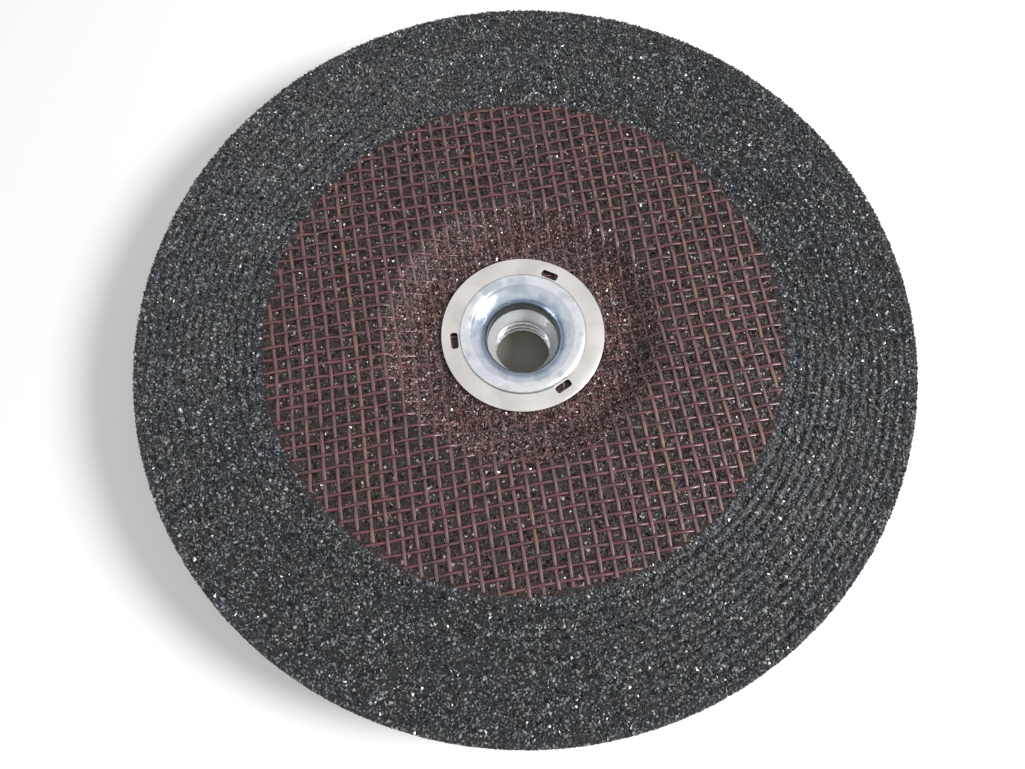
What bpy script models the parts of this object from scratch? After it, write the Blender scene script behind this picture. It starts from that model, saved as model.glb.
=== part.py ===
"""Grinding disc with a depressed centre and a spin-on threaded hub.

Four pieces share one upright axis. The disc lies on its back: the hub's
hexagon stands on the ground plane and the grinding face looks up (+Z).
Every length is in metres, and heights are worked out from the ground up.
"""
import math

import bmesh
import bpy
from mathutils import Matrix

# Moulded disc: 7 inch wheel, 1/4 inch thick, with a 7/8 inch arbor hole
WHEEL_RADIUS = 0.0889
RIM_THICKNESS = 0.00635
RIM_ROUND = 0.0006
ARBOR_HOLE_RADIUS = 0.01111
RECESS_DEPTH = 0.0049
SLOPE_WIDTH = 0.0090
FLOOR_MARGIN = 0.0054
BOSS_MARGIN = 0.0080
BACK_SLOPE_WIDTH = 0.0095

# Concentric grooves on the front, outside the net
GROOVE_PITCH = 0.0020
GROOVE_DEPTH = 0.00042
NET_LAND = 0.0006
RIM_LAND = 0.0010

# Woven glass-fibre net, 8 yarns to the inch
NET_RADIUS = 0.0602
NET_THICKNESS = 0.0008
YARN_PITCH = 0.00313
WARP_WIDTH = 0.00085
WEFT_WIDTH = 0.00060
YARN_DIP = 0.00012
CELL_DEPTH = 0.00045
YARN_TURN = math.radians(9.5)
GAP_EVERY_WARP = 3
GAP_EVERY_WEFT = 4

# Steel ring that lies on the net
RING_THICKNESS = 0.0007
RING_ROUND = 0.00015
RING_BORDER = 0.00215
SLOT_WIDTH = 0.00175
SLOT_LENGTH = 0.0040
SLOT_CORNER = 0.0006
SLOT_CORNER_STEPS = 3
SLOT_SETBACK = 0.00035
SLOT_ANGLES = [math.radians(angle) for angle in (66.5, 187.0, 305.5)]

# Threaded steel hub: 5/8-11 thread, bored to the thread's minor diameter
THREAD_MINOR_RADIUS = 0.0067
SPINDLE_SEAT_RADIUS = 0.0081
SEAT_CHAMFER_HEIGHT = 0.0005
HEXAGON_WIDTH = 0.0238
HEXAGON_HEIGHT = 0.00675
CORNER_CHAMFER = 0.0004
CHAMFER_ANGLE = math.radians(30)
FLAT_RUNOUT = 0.00025
FLANGE_RADIUS = 0.0180
FLANGE_THICKNESS = 0.0022
FLANGE_CHAMFER = 0.0004
TUBE_WALL = 0.00221
COUNTERSINK_ANGLE = math.radians(60)
WELL_TAPER = 0.0001
WELL_TOP_DROP = 0.0036
WELL_FOOT_DROP = 0.0062
WELL_EDGE = 0.0004
FUNNEL_BEND = 1.5
LIP_WIDTH = 0.00399
LIP_THICKNESS = 0.00065
LIP_CREST_INSET = 0.0015
FLARE_WIDTH = 0.0011

# Clearance between touching pieces
FIT_GAP = 0.0003

# Facets: DISC_STEPS is shared by what follows the disc's own facets
DISC_STEPS = 44
HUB_STEPS = 36
SLOPE_STEPS = 5
FLARE_STEPS = 6
LIP_STEPS = 3
SMOOTH_ANGLE = math.radians(35)

# Heights, from the ground up
FLANGE_TOP = HEXAGON_HEIGHT + FLANGE_THICKNESS
BOSS_BACK = FLANGE_TOP + FIT_GAP
WEB_THICKNESS = RIM_THICKNESS - NET_THICKNESS - FIT_GAP
SEAT_FLOOR = BOSS_BACK + WEB_THICKNESS
NET_FLOOR = SEAT_FLOOR + FIT_GAP
RING_UNDERSIDE = NET_FLOOR + NET_THICKNESS + FIT_GAP
RING_TOP = RING_UNDERSIDE + RING_THICKNESS
LIP_UNDERSIDE = RING_TOP + FIT_GAP
LIP_CREST = LIP_UNDERSIDE + LIP_THICKNESS
FRONT_FACE = NET_FLOOR + NET_THICKNESS + RECESS_DEPTH
RIM_BACK = FRONT_FACE - RIM_THICKNESS

# Radii, from the axis out
TUBE_RADIUS = ARBOR_HOLE_RADIUS - FIT_GAP
WELL_RADIUS = TUBE_RADIUS - TUBE_WALL
FLARE_RADIUS = TUBE_RADIUS + FLARE_WIDTH
LIP_RADIUS = TUBE_RADIUS + LIP_WIDTH
LIP_CREST_RADIUS = LIP_RADIUS - LIP_CREST_INSET
RING_BORE_RADIUS = FLARE_RADIUS + FIT_GAP
SLOT_RADIUS = LIP_RADIUS + SLOT_SETBACK + SLOT_WIDTH / 2
RING_RADIUS = SLOT_RADIUS + SLOT_WIDTH / 2 + RING_BORDER
FLOOR_RADIUS = RING_RADIUS + FLOOR_MARGIN
FACE_RADIUS = FLOOR_RADIUS + SLOPE_WIDTH
BOSS_RADIUS = FLANGE_RADIUS + BOSS_MARGIN
SEAT_WALL_RADIUS = NET_RADIUS + FIT_GAP


def new_collection(name):
    """Make a collection and put it in the scene."""
    collection = bpy.data.collections.new(name)
    bpy.context.scene.collection.children.link(collection)
    return collection


def turned(name, profile, steps, collection):
    """Turn a closed outline of (radius, height) points about the axis.

    The outline runs down the outer side and back up the inner side.
    """
    last = len(profile) - 1
    edges = [(i, i + 1) for i in range(last)] + [(last, 0)]
    mesh = bpy.data.meshes.new(name)
    mesh.from_pydata([(radius, 0.0, height) for radius, height in profile], edges, [])
    piece = bpy.data.objects.new(name, mesh)
    collection.objects.link(piece)
    turn = piece.modifiers.new("turn", "SCREW")
    turn.axis = "Z"
    turn.steps = steps
    turn.render_steps = steps
    turn.merge_threshold = 0.00001
    return piece


def as_cutter(piece):
    """Show a cutting shape as wire only and keep it out of the model."""
    piece.hide_render = True
    piece.display_type = "WIRE"
    return piece


def boolean(piece, operation, cutter):
    """Add an exact Boolean with one cutter to a piece."""
    modifier = piece.modifiers.new(operation.lower(), "BOOLEAN")
    modifier.operation = operation
    modifier.solver = "EXACT"
    modifier.object = cutter


def boxes(name, places, size, collection):
    """Join equal boxes, each at its own matrix, into one cutter."""
    cutter_mesh = bmesh.new()
    for place in places:
        bmesh.ops.create_cube(cutter_mesh, size=1.0, matrix=place @ Matrix.Diagonal((*size, 1.0)))
    mesh = bpy.data.meshes.new(name)
    cutter_mesh.to_mesh(mesh)
    cutter_mesh.free()
    piece = bpy.data.objects.new(name, mesh)
    collection.objects.link(piece)
    return as_cutter(piece)


def material(name, colour, roughness, metallic):
    """Make a plain Principled material."""
    result = bpy.data.materials.new(name)
    result.use_nodes = True
    shader = result.node_tree.nodes["Principled BSDF"]
    shader.inputs["Base Color"].default_value = (*colour, 1.0)
    shader.inputs["Roughness"].default_value = roughness
    shader.inputs["Metallic"].default_value = metallic
    return result


def finish(piece, surface):
    """Apply the modifiers, shade smooth with crisp edges and give the material."""
    depsgraph = bpy.context.evaluated_depsgraph_get()
    mesh = bpy.data.meshes.new_from_object(piece.evaluated_get(depsgraph))
    piece.modifiers.clear()
    piece.data = mesh
    mesh.name = piece.name
    mesh.shade_smooth()
    mesh.set_sharp_from_angle(angle=SMOOTH_ANGLE)
    mesh.materials.clear()
    mesh.materials.append(surface)


def rise(radius, start, width):
    """Height of an S-shaped slope, from 0 at start to RECESS_DEPTH a width further out."""
    share = min(max((radius - start) / width, 0.0), 1.0)
    return RECESS_DEPTH * (1 - math.cos(math.pi * share)) / 2


def slope(start, width, base):
    """Outline points of an S-shaped slope, from its foot outwards."""
    radii = [start + width * i / SLOPE_STEPS for i in range(SLOPE_STEPS + 1)]
    return [(radius, base + rise(radius, start, width)) for radius in radii]


def grooves():
    """Crests and valleys of the concentric grooves, from the net outwards."""
    first = SEAT_WALL_RADIUS + NET_LAND
    room = WHEEL_RADIUS - RIM_ROUND - RIM_LAND - first
    count = int(room / GROOVE_PITCH)
    points = []
    for i in range(count):
        crest = first + i * GROOVE_PITCH
        points.append((crest, FRONT_FACE))
        points.append((crest + GROOVE_PITCH / 2, FRONT_FACE - GROOVE_DEPTH))
    points.append((first + count * GROOVE_PITCH, FRONT_FACE))
    return points


def abrasive_disc(parts):
    """Moulded disc: seat for the net, grooved band, rim, and the boss on the back."""
    back = slope(BOSS_RADIUS, BACK_SLOPE_WIDTH, BOSS_BACK)
    profile = [(ARBOR_HOLE_RADIUS, SEAT_FLOOR)]
    profile += slope(FLOOR_RADIUS, SLOPE_WIDTH, SEAT_FLOOR)
    profile += [(SEAT_WALL_RADIUS, SEAT_FLOOR + RECESS_DEPTH), (SEAT_WALL_RADIUS, FRONT_FACE)]
    profile += grooves()
    profile += [
        (WHEEL_RADIUS - RIM_ROUND, FRONT_FACE),
        (WHEEL_RADIUS, FRONT_FACE - RIM_ROUND),
        (WHEEL_RADIUS, RIM_BACK + RIM_ROUND),
        (WHEEL_RADIUS - RIM_ROUND, RIM_BACK),
    ]
    profile += reversed(back)
    profile += [(ARBOR_HOLE_RADIUS, BOSS_BACK)]
    return turned("abrasive_disc", profile, DISC_STEPS, parts)


def woven_height(x, y, sunk):
    """Height of the net's upper side over a point, less what it is sunk there."""
    radius = math.hypot(x, y)
    return NET_FLOOR + NET_THICKNESS + rise(radius, FLOOR_RADIUS, SLOPE_WIDTH) - sunk


def split_sloping_yarns(weave):
    """Give each yarn an extra point between crossings where the net bends."""
    for edge in list(weave.edges):
        middle = (edge.verts[0].co + edge.verts[1].co) / 2
        if FLOOR_RADIUS - YARN_PITCH / 2 < middle.length < FACE_RADIUS + YARN_PITCH / 2:
            bmesh.utils.edge_split(edge, edge.verts[0], 0.5)


def woven_slab(parts):
    """Slab whose upper side is the weave: yarns stand up and each cell is a pit."""
    reach = math.ceil(NET_RADIUS / YARN_PITCH) + 1
    weave = bmesh.new()
    bmesh.ops.create_grid(weave, x_segments=2 * reach, y_segments=2 * reach, size=reach * YARN_PITCH)
    inner = ARBOR_HOLE_RADIUS - YARN_PITCH
    outer = NET_RADIUS + YARN_PITCH
    unused = [face for face in weave.faces if not inner < face.calc_center_median().length < outer]
    bmesh.ops.delete(weave, geom=unused, context="FACES")
    split_sloping_yarns(weave)
    sunk = {}
    for vert in weave.verts:
        warp_number = round(vert.co.x / YARN_PITCH)
        weft_number = round(vert.co.y / YARN_PITCH)
        sunk[vert] = YARN_DIP * ((warp_number + weft_number) % 2)
    pits = bmesh.ops.poke(weave, faces=list(weave.faces))
    for vert in pits["verts"]:
        sunk[vert] = CELL_DEPTH
    upper = list(sunk.keys())
    bmesh.ops.rotate(weave, verts=weave.verts, matrix=Matrix.Rotation(YARN_TURN, 3, "Z"))
    bmesh.ops.extrude_face_region(weave, geom=list(weave.faces), use_keep_orig=True)
    for vert in upper:
        vert.co.z = woven_height(vert.co.x, vert.co.y, sunk[vert])
    bmesh.ops.recalc_face_normals(weave, faces=list(weave.faces))
    mesh = bpy.data.meshes.new("front_net")
    weave.to_mesh(mesh)
    weave.free()
    piece = bpy.data.objects.new("front_net", mesh)
    parts.objects.link(piece)
    return piece


def net_blank(cutters):
    """Turned ring that holds the net: its underside follows the seat."""
    above = FRONT_FACE + RIM_THICKNESS
    dish = slope(FLOOR_RADIUS, SLOPE_WIDTH, NET_FLOOR)
    profile = [(ARBOR_HOLE_RADIUS, above), (NET_RADIUS, above), (NET_RADIUS, NET_FLOOR + RECESS_DEPTH)]
    profile += reversed(dish)
    profile += [(ARBOR_HOLE_RADIUS, NET_FLOOR)]
    return as_cutter(turned("net_blank", profile, DISC_STEPS, cutters))


def net_gaps(cutters):
    """Openings through the net, in every few cells of its flat part."""
    turn = Matrix.Rotation(YARN_TURN, 4, "Z")
    reach = math.ceil(NET_RADIUS / YARN_PITCH)
    places = []
    for column in range(-reach, reach, GAP_EVERY_WARP):
        for row in range(-reach, reach, GAP_EVERY_WEFT):
            x = (column + 0.5) * YARN_PITCH
            y = (row + 0.5) * YARN_PITCH
            if FACE_RADIUS + YARN_PITCH < math.hypot(x, y) < NET_RADIUS - YARN_PITCH:
                places.append(turn @ Matrix.Translation((x, y, FRONT_FACE)))
    size = (YARN_PITCH - WARP_WIDTH, YARN_PITCH - WEFT_WIDTH, RIM_THICKNESS)
    return boxes("net_gaps", places, size, cutters)


def front_net(parts, cutters):
    """Woven net, dished into the recess."""
    piece = woven_slab(parts)
    boolean(piece, "INTERSECT", net_blank(cutters))
    boolean(piece, "DIFFERENCE", net_gaps(cutters))
    return piece


def ring_slots(cutters):
    """Three oblong slots with round corners."""
    cutter_mesh = bmesh.new()
    depth = RING_TOP - SEAT_FLOOR
    for angle in SLOT_ANGLES:
        turn = Matrix.Rotation(angle, 4, "Z")
        place = turn @ Matrix.Translation((SLOT_RADIUS, 0.0, RING_TOP))
        size = Matrix.Diagonal((SLOT_WIDTH, SLOT_LENGTH, 2 * depth, 1.0))
        corners = bmesh.ops.create_cube(cutter_mesh, size=1.0, matrix=place @ size)["verts"]
        upright = [
            edge
            for edge in {edge for vert in corners for edge in vert.link_edges}
            if abs(edge.verts[0].co.z - edge.verts[1].co.z) > RING_THICKNESS
        ]
        bmesh.ops.bevel(
            cutter_mesh, geom=upright, offset=SLOT_CORNER, segments=SLOT_CORNER_STEPS, profile=0.5, affect="EDGES"
        )
    mesh = bpy.data.meshes.new("ring_slots")
    cutter_mesh.to_mesh(mesh)
    cutter_mesh.free()
    piece = bpy.data.objects.new("ring_slots", mesh)
    cutters.objects.link(piece)
    return as_cutter(piece)


def front_ring(parts, cutters):
    """Flat steel ring with a rounded rim and three slots."""
    profile = [
        (RING_BORE_RADIUS, RING_TOP),
        (RING_RADIUS - RING_ROUND, RING_TOP),
        (RING_RADIUS, RING_TOP - RING_ROUND),
        (RING_RADIUS, RING_UNDERSIDE),
        (RING_BORE_RADIUS, RING_UNDERSIDE),
    ]
    piece = turned("front_ring", profile, DISC_STEPS, parts)
    boolean(piece, "DIFFERENCE", ring_slots(cutters))
    return piece


def hub_outside():
    """Outer outline of the hub, from the lip's rim down to the hexagon's end face."""
    corner_radius = HEXAGON_WIDTH / math.sqrt(3)
    end_radius = HEXAGON_WIDTH / 2 - CORNER_CHAMFER
    points = []
    for i in range(1, LIP_STEPS + 1):
        angle = math.pi / 2 * i / LIP_STEPS
        radius = LIP_CREST_RADIUS + LIP_CREST_INSET * math.sin(angle)
        points.append((radius, LIP_UNDERSIDE + LIP_THICKNESS * math.cos(angle)))
    points += [
        (FLARE_RADIUS, LIP_UNDERSIDE),
        (FLARE_RADIUS, RING_TOP),
        (TUBE_RADIUS, RING_UNDERSIDE),
        (TUBE_RADIUS, FLANGE_TOP),
        (FLANGE_RADIUS - FLANGE_CHAMFER, FLANGE_TOP),
        (FLANGE_RADIUS, FLANGE_TOP - FLANGE_CHAMFER),
        (FLANGE_RADIUS, HEXAGON_HEIGHT + FLANGE_CHAMFER),
        (FLANGE_RADIUS - FLANGE_CHAMFER, HEXAGON_HEIGHT),
        (corner_radius, HEXAGON_HEIGHT),
        (corner_radius, (corner_radius - end_radius) * math.tan(CHAMFER_ANGLE)),
        (end_radius, 0.0),
    ]
    return points


def hub_inside():
    """Inner outline of the hub: seat, thread, countersink, plain well and flared funnel."""
    well_foot_radius = WELL_RADIUS - WELL_TAPER
    well_foot = RING_TOP - WELL_FOOT_DROP
    well_top = RING_TOP - WELL_TOP_DROP
    thread_end = well_foot - (well_foot_radius - THREAD_MINOR_RADIUS) / math.tan(COUNTERSINK_ANGLE / 2)
    points = [
        (SPINDLE_SEAT_RADIUS, 0.0),
        (THREAD_MINOR_RADIUS, SEAT_CHAMFER_HEIGHT),
        (THREAD_MINOR_RADIUS, thread_end),
        (well_foot_radius, well_foot),
        (WELL_RADIUS, well_top),
    ]
    across = LIP_CREST_RADIUS - WELL_RADIUS - WELL_EDGE
    up = LIP_CREST - well_top - WELL_EDGE
    for i in range(FLARE_STEPS + 1):
        angle = math.pi / 2 * i / FLARE_STEPS
        radius = LIP_CREST_RADIUS - across * math.cos(angle) ** FUNNEL_BEND
        points.append((radius, LIP_CREST - up * (1 - math.sin(angle))))
    return points


def hexagon_envelope(cutters):
    """Stepped prism: a narrow hexagon below the flange and a wide one around the rest."""
    wide = 2 * FLANGE_RADIUS
    narrow = HEXAGON_WIDTH / math.sqrt(3)
    flats_top = HEXAGON_HEIGHT - FLAT_RUNOUT
    height = LIP_CREST + FLANGE_THICKNESS - flats_top
    prism = bmesh.new()
    place = Matrix.Translation((0.0, 0.0, flats_top + height / 2))
    bmesh.ops.create_cone(prism, segments=6, radius1=wide, radius2=wide, depth=height, cap_ends=True, matrix=place)
    prism.faces.ensure_lookup_table()
    step = min(prism.faces, key=lambda face: face.calc_center_median().z)
    bmesh.ops.inset_region(prism, faces=[step], thickness=wide - narrow)
    grown = bmesh.ops.extrude_face_region(prism, geom=[step])["geom"]
    lowered = [item for item in grown if isinstance(item, bmesh.types.BMVert)]
    bmesh.ops.translate(prism, verts=lowered, vec=(0.0, 0.0, -flats_top - FLANGE_THICKNESS))
    bmesh.ops.delete(prism, geom=[step], context="FACES_ONLY")
    bmesh.ops.recalc_face_normals(prism, faces=list(prism.faces))
    mesh = bpy.data.meshes.new("hexagon_envelope")
    prism.to_mesh(mesh)
    prism.free()
    piece = bpy.data.objects.new("hexagon_envelope", mesh)
    cutters.objects.link(piece)
    return as_cutter(piece)


def threaded_hub(parts, cutters):
    """Turned hub with its lip flared over the ring and flats milled for a spanner."""
    piece = turned("threaded_hub", hub_outside() + hub_inside(), HUB_STEPS, parts)
    boolean(piece, "INTERSECT", hexagon_envelope(cutters))
    return piece


def main():
    """Build the four pieces and give each its surface."""
    for piece in list(bpy.data.objects):
        bpy.data.objects.remove(piece)
    parts = new_collection("grinding_disc")
    cutters = new_collection("cutters")
    grain = material("bonded_grain", (0.058, 0.060, 0.067), 0.75, 0.0)
    resin = material("resin_coated_glass_net", (0.105, 0.055, 0.053), 0.6, 0.0)
    tin = material("tinned_steel", (0.72, 0.68, 0.66), 0.35, 1.0)
    zinc = material("zinc_plated_steel", (0.62, 0.65, 0.70), 0.22, 1.0)
    finish(abrasive_disc(parts), grain)
    finish(front_net(parts, cutters), resin)
    finish(front_ring(parts, cutters), tin)
    finish(threaded_hub(parts, cutters), zinc)


main()
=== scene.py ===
"""Looks of a grinding disc: bonded grain, woven net, slotted steel ring and threaded hub.

Lengths are in metres. The disc lies on its back, its axis is Z, and the sizes that the
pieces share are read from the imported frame, so every piece sits where its solid is.
"""

import math

import bmesh
import bpy
import numpy as np
from mathutils import Matrix, Vector, noise


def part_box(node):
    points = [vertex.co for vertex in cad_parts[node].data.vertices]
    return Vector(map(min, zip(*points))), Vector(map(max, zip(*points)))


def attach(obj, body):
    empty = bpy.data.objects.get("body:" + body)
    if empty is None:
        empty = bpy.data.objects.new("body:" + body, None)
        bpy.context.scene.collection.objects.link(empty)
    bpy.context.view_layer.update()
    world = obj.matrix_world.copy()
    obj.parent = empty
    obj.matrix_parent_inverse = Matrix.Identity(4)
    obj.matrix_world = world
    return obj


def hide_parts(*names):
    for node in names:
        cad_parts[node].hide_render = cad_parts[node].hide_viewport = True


bl_info = {
    "name": "Grinding Disc",
    "version": (1, 0, 0),
    "blender": (4, 5, 0),
    "location": "View3D > Sidebar > Grinding Disc",
    "description": "Builds the visible surfaces of a grinding disc round its packed frame",
    "category": "Object",
}

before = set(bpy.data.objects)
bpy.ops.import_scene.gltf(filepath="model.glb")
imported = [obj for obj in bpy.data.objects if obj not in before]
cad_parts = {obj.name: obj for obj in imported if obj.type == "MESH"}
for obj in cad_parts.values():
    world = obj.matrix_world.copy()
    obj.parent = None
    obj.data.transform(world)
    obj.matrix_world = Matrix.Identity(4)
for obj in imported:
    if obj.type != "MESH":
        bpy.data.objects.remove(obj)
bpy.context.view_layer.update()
DISC_LOW, DISC_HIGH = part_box("abrasive_disc")
NET_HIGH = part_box("front_net")[1]
RING_LOW, RING_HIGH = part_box("front_ring")
HUB_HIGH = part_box("threaded_hub")[1]

BODY = "root"
PHOTO_WIDTH, PHOTO_HEIGHT = 1025, 769
FACE_CENTRE_PIXEL = (522.8, 326.7)
SMOOTH_ANGLE = math.radians(35)
SEED = 7

# Steps round the axis
DISC_STEPS = 288
BAND_STEPS = 240
RING_STEPS = 160
HUB_STEPS = 144

# The resin's surface: how far it waves, how wide the waves are and how deep it lies under the net
FACE_WAVE, RIM_WAVE, BACK_WAVE = 0.00008, 0.00005, 0.00006
WAVE_WIDTH, BACK_WAVE_WIDTH = 0.0011, 0.0014
SHALLOW_RESIN, DEEP_RESIN = 0.00040, 0.00052
SHALLOW_RADIUS, DEEPENING_WIDTH = 0.0300, 0.0060
BACK_SKIN = 0.0005

# The grains: kinds and shape of the crystals, how far a crystal's middle stands off its bed, the
# smallest one's share of the largest, and how far the beds reach
CRYSTAL_KINDS = 8
CRYSTAL_CORNERS = 7
CRYSTAL_SQUASH = (0.62, 0.48, 0.40)
GRAIN_LIFT = 0.00004
LEAST_GRAIN = 0.50
RECESS_GRAIN = 0.86
MOST_GRAINS = 2.0e7
BAND_ROW = 0.0004
BURIED_SLOPE = 0.8
BED_OVERLAP = 0.0003
UNDER_RING = 0.0005

# The yarns: points between two crossings, sides, and how far each set sways over and under the other
YARN_STEPS = 6
YARN_SIDES = 6
WARP_SWAY, WEFT_SWAY = 0.00012, 0.00019
FRAYED_END = 0.0012

# Small sizes of the ring and the hub, which follow the solids
FIT_GAP = 0.0003
RING_EDGE = 0.00015
SLOT_ANGLES = [math.radians(angle) for angle in (66.5, 187.0, 305.5)]
SLOT_CORNER = 0.0006
SLOT_CUT_HEIGHT = 0.004
FLARE_WIDTH, FLARE_DROP = 0.0011, 0.0006
FLANGE_EDGE = 0.0004
CHAMFER_ANGLE = math.radians(30)
SEAT_RADIUS, SEAT_HEIGHT = 0.0081, 0.0005
WELL_TAPER = 0.0001
CREASE_DEPTH, CREASE_WIDTH = 0.00010, 0.00016
THREAD_FADE = 0.0005
THREAD_ROW = 0.00011


def linear(code):
    """Linear colour, with alpha 1, of an sRGB hex code."""
    shares = [int(code[i:i + 2], 16) / 255 for i in (0, 2, 4)]
    return (*[s / 12.92 if s <= 0.04045 else ((s + 0.055) / 1.055) ** 2.4 for s in shares], 1.0)


def length(name, description, default):
    """A property that holds a length."""
    return bpy.props.FloatProperty(
        name=name, description=description, default=default, unit="LENGTH", precision=5
    )


def colour(name, description, code):
    """A property that holds a colour, given as an sRGB hex code."""
    return bpy.props.FloatVectorProperty(
        name=name, description=description, default=linear(code), size=4, subtype="COLOR", min=0.0, max=1.0
    )


class DiscSizes(bpy.types.PropertyGroup):
    """The moulded disc of bonded grain."""

    wheel_radius: length("Wheel radius", "Radius of the whole wheel", DISC_HIGH.x)
    face_height: length("Face height", "Height of the grinding face", DISC_HIGH.z)
    boss_height: length("Boss height", "Height of the back of the raised boss", DISC_LOW.z)
    rim_thickness: length("Rim thickness", "Thickness of the outer band", 0.00635)
    rim_round: length("Rim round", "Radius of the moulded edge at the rim", 0.00015)
    hole_radius: length("Hole radius", "Radius of the arbor hole", 0.01111)
    floor_radius: length("Floor radius", "Outer radius of the recess floor", 0.02445)
    slope_width: length("Slope width", "Width of the slope between floor and face", 0.0090)
    recess_depth: length("Recess depth", "Depth of the recess in the front", 0.0049)
    boss_radius: length("Boss radius", "Radius of the boss on the back", 0.0260)
    back_slope_width: length("Back slope width", "Width of the slope round the boss", 0.0095)
    groove_pitch: length("Groove pitch", "Distance between the concentric grooves", 0.0020)
    groove_depth: length("Groove depth", "Depth of the concentric grooves", 0.00045)
    groove_start: length("Groove start", "Radius of the innermost crest", 0.0611)
    grain_size: length("Grain size", "Size of the largest grains, grit 24", 0.00112)
    grain_spacing: length("Grain spacing", "Least distance between two grains", 0.00052)
    grain_cover: length("Grain cover", "How far the resin lies below the grain tips", 0.00030)
    rim_cover: length("Rim cover", "How far the resin lies inside the grain tips at the rim", 0.00006)
    recess_cover: length("Recess cover", "How far the recess's grain bed lies below the net's top", 0.00018)
    resin: colour("Resin", "Dark phenolic resin between the grains", "1C1E21")
    red_resin: colour("Red resin", "Resin that soaks through the net", "261C1B")
    back_net: colour("Back net", "Print of the second net in the back", "54403F")


class NetSizes(bpy.types.PropertyGroup):
    """The woven glass net."""

    radius: length("Net radius", "Radius that the net reaches", NET_HIGH.x)
    inner_radius: length("Inner radius", "Radius where the net ends under the ring", 0.0135)
    warp_pitch: length("Warp pitch", "Distance between two thicker yarns", 0.00310)
    weft_pitch: length("Weft pitch", "Distance between two thinner yarns", 0.00302)
    warp_start: length("Warp start", "Distance of the first thicker yarn from the axis", 0.00120)
    weft_start: length("Weft start", "Distance of the first thinner yarn from the axis", -0.00066)
    warp_turn: bpy.props.FloatProperty(
        name="Warp turn", description="Angle of the warp from Y", default=math.radians(9.2), subtype="ANGLE"
    )
    weft_turn: bpy.props.FloatProperty(
        name="Weft turn", description="Angle of the weft from X", default=math.radians(10.2), subtype="ANGLE"
    )
    warp_width: length("Warp width", "Width of the thicker yarn", 0.00092)
    warp_height: length("Warp height", "Height of the thicker yarn", 0.00034)
    weft_width: length("Weft width", "Width of the thinner yarn", 0.00078)
    weft_height: length("Weft height", "Height of the thinner yarn", 0.00028)
    middle: length("Weave depth", "Depth of the weave's middle below the net's top", 0.00038)
    wander: length("Wander", "How far a yarn strays from its line", 0.00024)
    draw: length("Draw", "How far the dish draws the yarns beside it inwards", 0.00085)
    draw_width: length("Draw width", "Half the width of the yarns' stretch that is drawn in", 0.0260)
    warp_colour: colour("Warp colour", "Thicker yarn under red-brown resin", "6E5253")
    weft_colour: colour("Weft colour", "Thinner yarn under red-brown resin", "54343A")


class MetalSizes(bpy.types.PropertyGroup):
    """The ring and the hub."""

    ring_radius: length("Ring radius", "Outer radius of the ring", RING_HIGH.x)
    ring_bore: length("Ring bore", "Inner radius of the ring", 0.01221)
    ring_top: length("Ring top", "Height of the ring's upper side", RING_HIGH.z)
    ring_under: length("Ring underside", "Height of the ring's lower side", RING_LOW.z)
    slot_radius: length("Slot radius", "Distance of the slots from the axis", 0.016025)
    slot_width: length("Slot width", "Width of a slot along the radius", 0.00175)
    slot_length: length("Slot length", "Length of a slot round the ring", 0.0040)
    lip_crest: length("Lip crest", "Height of the hub's rolled lip", HUB_HIGH.z)
    lip_radius: length("Lip radius", "Outer radius of the rolled lip", 0.0148)
    crest_radius: length("Crest radius", "Radius of the lip's highest circle", 0.0133)
    crease_radius: length("Crease radius", "Radius of the shallow crease inside the lip", 0.0121)
    tube_radius: length("Tube radius", "Radius of the tube in the arbor hole", 0.01081)
    well_radius: length("Well radius", "Radius of the plain well above the thread", 0.0086)
    well_foot: length("Well foot", "Height of the well's foot, where the countersink starts", 0.0104)
    well_top: length("Well top", "Height of the edge between well and funnel", 0.0130)
    minor_radius: length("Minor radius", "Radius at the thread's crests, 5/8-11", 0.0067)
    major_radius: length("Major radius", "Radius at the thread's roots, 5/8-11", 0.00794)
    thread_pitch: length("Thread pitch", "Pitch of the thread, 11 to the inch", 0.0254 / 11)
    hexagon_width: length("Hexagon width", "Width across the hexagon's flats", 0.0238)
    hexagon_height: length("Hexagon height", "Height of the hexagon", 0.00675)
    flange_radius: length("Flange radius", "Radius of the flange behind the disc", HUB_HIGH.x)
    flange_top: length("Flange top", "Height of the flange's seat", 0.00895)
    tin: colour("Tin", "Bright tinned sheet", "DAD7D4")
    zinc: colour("Zinc", "Zinc plate on turned steel", "CBD1DA")
    # Oil and painted shade in the thread's roots
    thread_soil_and_shade: colour("Thread soil", "Dull steel with oil in the roots of the thread", "4A4640")
    speck: colour("Speck", "Dark specks on the ring", "4A4540")


class StageSizes(bpy.types.PropertyGroup):
    """Floor, lamp, world and camera."""

    lamp_place: bpy.props.FloatVectorProperty(
        name="Lamp place", description="Where the key lamp is", default=(0.60, -0.13, 0.575), unit="LENGTH"
    )
    lamp_size: length("Lamp size", "Width of the round lamp", 0.25)
    lamp_power: bpy.props.FloatProperty(
        name="Lamp power", description="Power of the key lamp", default=6.6, unit="POWER"
    )
    world_light: bpy.props.FloatProperty(
        name="World light", description="Share of white light from all sides", default=0.36
    )
    floor_size: length("Floor size", "Side of the square floor", 4.0)
    floor_colour: colour("Floor colour", "Pale paper under the disc", "F4F4F4")
    floor_glow: colour("Floor glow", "Light that only the camera and mirrors see on the paper", "8C8C8C")
    # Painted shade under the disc, where the floor shows through the bore
    bore_painted_shade: colour("Bore colour", "The same paper in the shade that shows through the bore", "A8A498")
    camera_distance: length("Camera distance", "From the lens to the grinding face", 0.1844)
    camera_height: bpy.props.FloatProperty(
        name="Camera elevation", description="Angle above the floor", default=math.radians(68.52),
        subtype="ANGLE",
    )
    camera_lens: bpy.props.FloatProperty(
        name="Lens", description="Focal length on a 36 mm sensor", default=28.27, unit="CAMERA"
    )


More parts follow.
